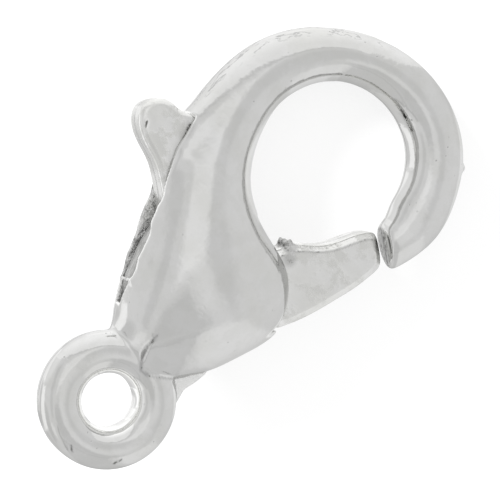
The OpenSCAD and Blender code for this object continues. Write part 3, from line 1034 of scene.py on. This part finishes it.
def camera_axes():
    """Right, up and back of the camera, in the frame."""
    back = np.array(VIEW_DIRECTION) @ LOCAL
    back /= np.linalg.norm(back)
    along_in = along - back * (along @ back)
    along_in /= np.linalg.norm(along_in)
    across_in = np.cross(along_in, back)
    turn = math.radians(VIEW_ROLL)
    right = math.cos(turn) * along_in + math.sin(turn) * across_in
    up = math.sin(turn) * along_in - math.cos(turn) * across_in
    return right, up, back


def make_camera():
    right, up, back = camera_axes()
    data = bpy.data.cameras.new("camera")
    data.lens = SENSOR * VIEW_DISTANCE / FRAME_WIDTH
    data.sensor_width = SENSOR
    data.clip_start = NEAREST_SEEN * MM
    data.clip_end = FARTHEST_SEEN * MM
    camera = bpy.data.objects.new("camera", data)
    matrix = Matrix([(*right, 0), (*up, 0), (*back, 0), (0, 0, 0, 1)]).transposed()
    matrix.translation = Vector(to_frame(VIEW_TARGET) + back * VIEW_DISTANCE * MM)
    camera.matrix_world = matrix
    bpy.context.scene.collection.objects.link(camera)
    bpy.context.scene.camera = camera


# The floor: half its width in metres, its tone and its glow
FLOOR_HALF = 0.4
FLOOR_TONE = (0.30, 0.30, 0.30, 1)
FLOOR_GLOW = 0.75


def make_floor():
    """A pale dull floor, which the metal doesn't mirror."""
    mesh = bpy.data.meshes.new("floor")
    corners = [(x * FLOOR_HALF, y * FLOOR_HALF, 0) for x, y in ((-1, -1), (1, -1), (1, 1), (-1, 1))]
    mesh.from_pydata(corners, [], [(0, 1, 2, 3)])
    floor = bpy.data.objects.new("floor", mesh)
    bpy.context.scene.collection.objects.link(floor)
    material, n = new_material("pale floor")
    n.end_with("ShaderNodeBsdfPrincipled", "ShaderNodeOutputMaterial", Base_Color=FLOOR_TONE,
               Roughness=0.9, Specular_IOR_Level=0.0, Emission_Color=(1, 1, 1, 1),
               Emission_Strength=FLOOR_GLOW)
    finish_with(floor, material)
    floor.visible_glossy = False


# The light tent, by the tilt that a mirror needs to show a place of it to the photograph's
# camera: x to the right and y up. Each panel: light added, softness of its edge, outline.
TENT_LEVEL = 0.7
TENT_GAIN = 1.235
PANELS = [
    (0.03, 0.25, [(0.62, 1), (1.6, 1), (1.6, -1.2), (0.62, -1.2)]),
    (0.17, 0.012, [(0.351, 0.231), (0.66, 0.6), (1, 1.3), (-1.5, 1.3), (-1.5, 0.786)]),
    (0.16, 0.22, [(1.5, 0.6), (1.5, 1.8), (-1.5, 1.8), (-1.5, 0.6)]),
    (-0.08, 0.012, [(0.33, 0.205), (0.33, 0.235), (-0.3, 0.424), (-0.3, 0.385)]),
    (0.13, 0.04, [(-0.19, 0.25), (0.19, 0.22), (0.13, 0.05), (-0.13, -0.02)]),
    (0.05, 0.045, [(-0.08, 0.06), (0.12, 0.08), (0.36, -0.22), (0.22, -0.24)]),
    (-0.06, 0.055, [(0.17, 0.17), (0.4, 0.14), (0.42, -0.3), (0.34, -0.24), (0.14, 0.08)]),
    (-0.1, 0.035, [(-0.18, -0.1), (0, -0.07), (0.12, -0.17), (0.28, -0.33), (0.2, -0.36),
                   (-0.2, -0.36), (-0.2, -0.25)]),
    (-0.1, 0.012, [(-0.24, -0.42), (-0.24, -0.37), (0.3, -0.36), (0.19, -0.41)]),
    (-0.08, 0.015, [(-0.36, -0.62), (-0.24, -0.4), (0.19, -0.4), (0.19, -1.2), (-0.36, -1.2)]),
    (-0.03, 0.012, [(0.18, -0.4), (0.205, -0.4), (0.205, -0.9), (0.18, -0.9)]),
    (0.1, 0.04, [(0.24, -0.37), (0.5, -0.37), (0.62, -0.55), (0.8, -0.9), (0.3, -1.1),
                 (0.25, -0.6)]),
    (-0.075, 0.03, [(-0.405, 0.3), (-0.29, 0.33), (-0.29, -0.2), (-0.38, -0.22), (-0.41, -0.1)]),
    (-0.17, 0.015, [(-0.24, -0.25), (-0.2, -0.27), (-0.31, -0.62), (-0.36, -0.62)]),
    (0.12, 0.03, [(-0.36, -0.3), (-0.48, -0.28), (-0.5, -0.4), (-0.4, -0.46)]),
    (0.02, 0.04, [(-0.44, 0.5), (-0.44, -0.3), (-0.7, -0.3), (-0.7, 0.5)]),
    (-0.1, 0.04, [(-0.72, -0.05), (-0.53, -0.15), (-0.5, -0.5), (-0.6, -0.58), (-0.7, -0.3)]),
    (0.12, 0.08, [(-0.58, 0.22), (-0.45, 0.5), (-1.1, 0.7), (-1, 0.1)]),
    (0.30, 0.02, [(-0.69, -0.40), (-0.86, -0.50), (-0.86, 0.16), (-0.69, 0.12)]),
    (0.30, 0.02, [(-0.945, -0.8), (-1.5, -0.8), (-1.5, 0.2), (-0.945, 0.2)]),
    (0.24, 0.03, [(-0.82, 0.2), (-1.5, 0.2), (-1.5, 0.9), (-0.75, 0.9), (-0.75, 0.55)]),
    (0.12, 0.03, [(-0.75, 0.86), (-0.75, 1.5), (0.5, 1.5), (0.5, 0.86)]),
    (0.22, 0.03, [(0.88, -0.7), (1.5, -0.7), (1.5, 0.7), (0.88, 0.7)]),
]

# The lamp: its energy, its width in degrees, the way to it to the right and up in the
# photograph's view, and its height over the floor for a way of 1
LAMP_ENERGY = 7.5
LAMP_WIDTH = 25
LAMP_WAY = (-0.80, 0.60)
LAMP_RISE = 0.42


def tent(g, x, y):
    """Brightness of the tent at a tilt."""
    at = g.node("ShaderNodeCombineXYZ", (x, y, 1.0))
    light = TENT_LEVEL
    for amount, edge, outline in PANELS:
        light += amount * g.depth_in(at, outline).step(-edge, edge)
    return light * TENT_GAIN


def make_light():
    """The tent round the clasp, and a lamp from the upper left that brightens the floor there."""
    right, up, back = camera_axes()
    world = bpy.data.worlds.new("tent")
    bpy.context.scene.world = world
    world.use_nodes = True
    g = Graph(world.node_tree)
    direction = g.node("ShaderNodeTexCoord", (), "Generated")
    mirror = g.vector("NORMALIZE", g.vector("ADD", direction, tuple(back)))
    x, y = [g.vector("DOT_PRODUCT", mirror, tuple(axis), output="Value") for axis in (right, up)]
    g.end_with("ShaderNodeBackground", "ShaderNodeOutputWorld", Color=(1, 1, 1, 1),
               Strength=tent(g, x, y))
    lamp = bpy.data.objects.new("lamp", bpy.data.lights.new("lamp", "SUN"))
    lamp.data.energy = LAMP_ENERGY
    lamp.data.angle = math.radians(LAMP_WIDTH)
    lamp.visible_glossy = False
    toward = right * LAMP_WAY[0] + up * LAMP_WAY[1]
    toward[2] = 0
    toward = Vector(toward).normalized() + Vector((0, 0, LAMP_RISE))
    lamp.rotation_mode = "QUATERNION"
    lamp.rotation_quaternion = toward.to_track_quat("Z", "Y")
    bpy.context.scene.collection.objects.link(lamp)
    bpy.context.scene.view_settings.view_transform = "Standard"


body = make_body()
lever = make_lever()
spring = make_spring()
finish_with(body, plated_metal("plated casting", BODY_TONE, roughness=0.07, mottle=0.25))
finish_with(lever, plated_metal("plated lever", LEVER_TONE, roughness=0.16, mottle=1.0))
finish_with(spring, dull_steel("spring steel", SPRING_TONE))
finish_with(frame["nodes"]["pivot_pin"], dull_steel("pin steel", PIN_TONE))
make_floor()
make_light()
make_camera()
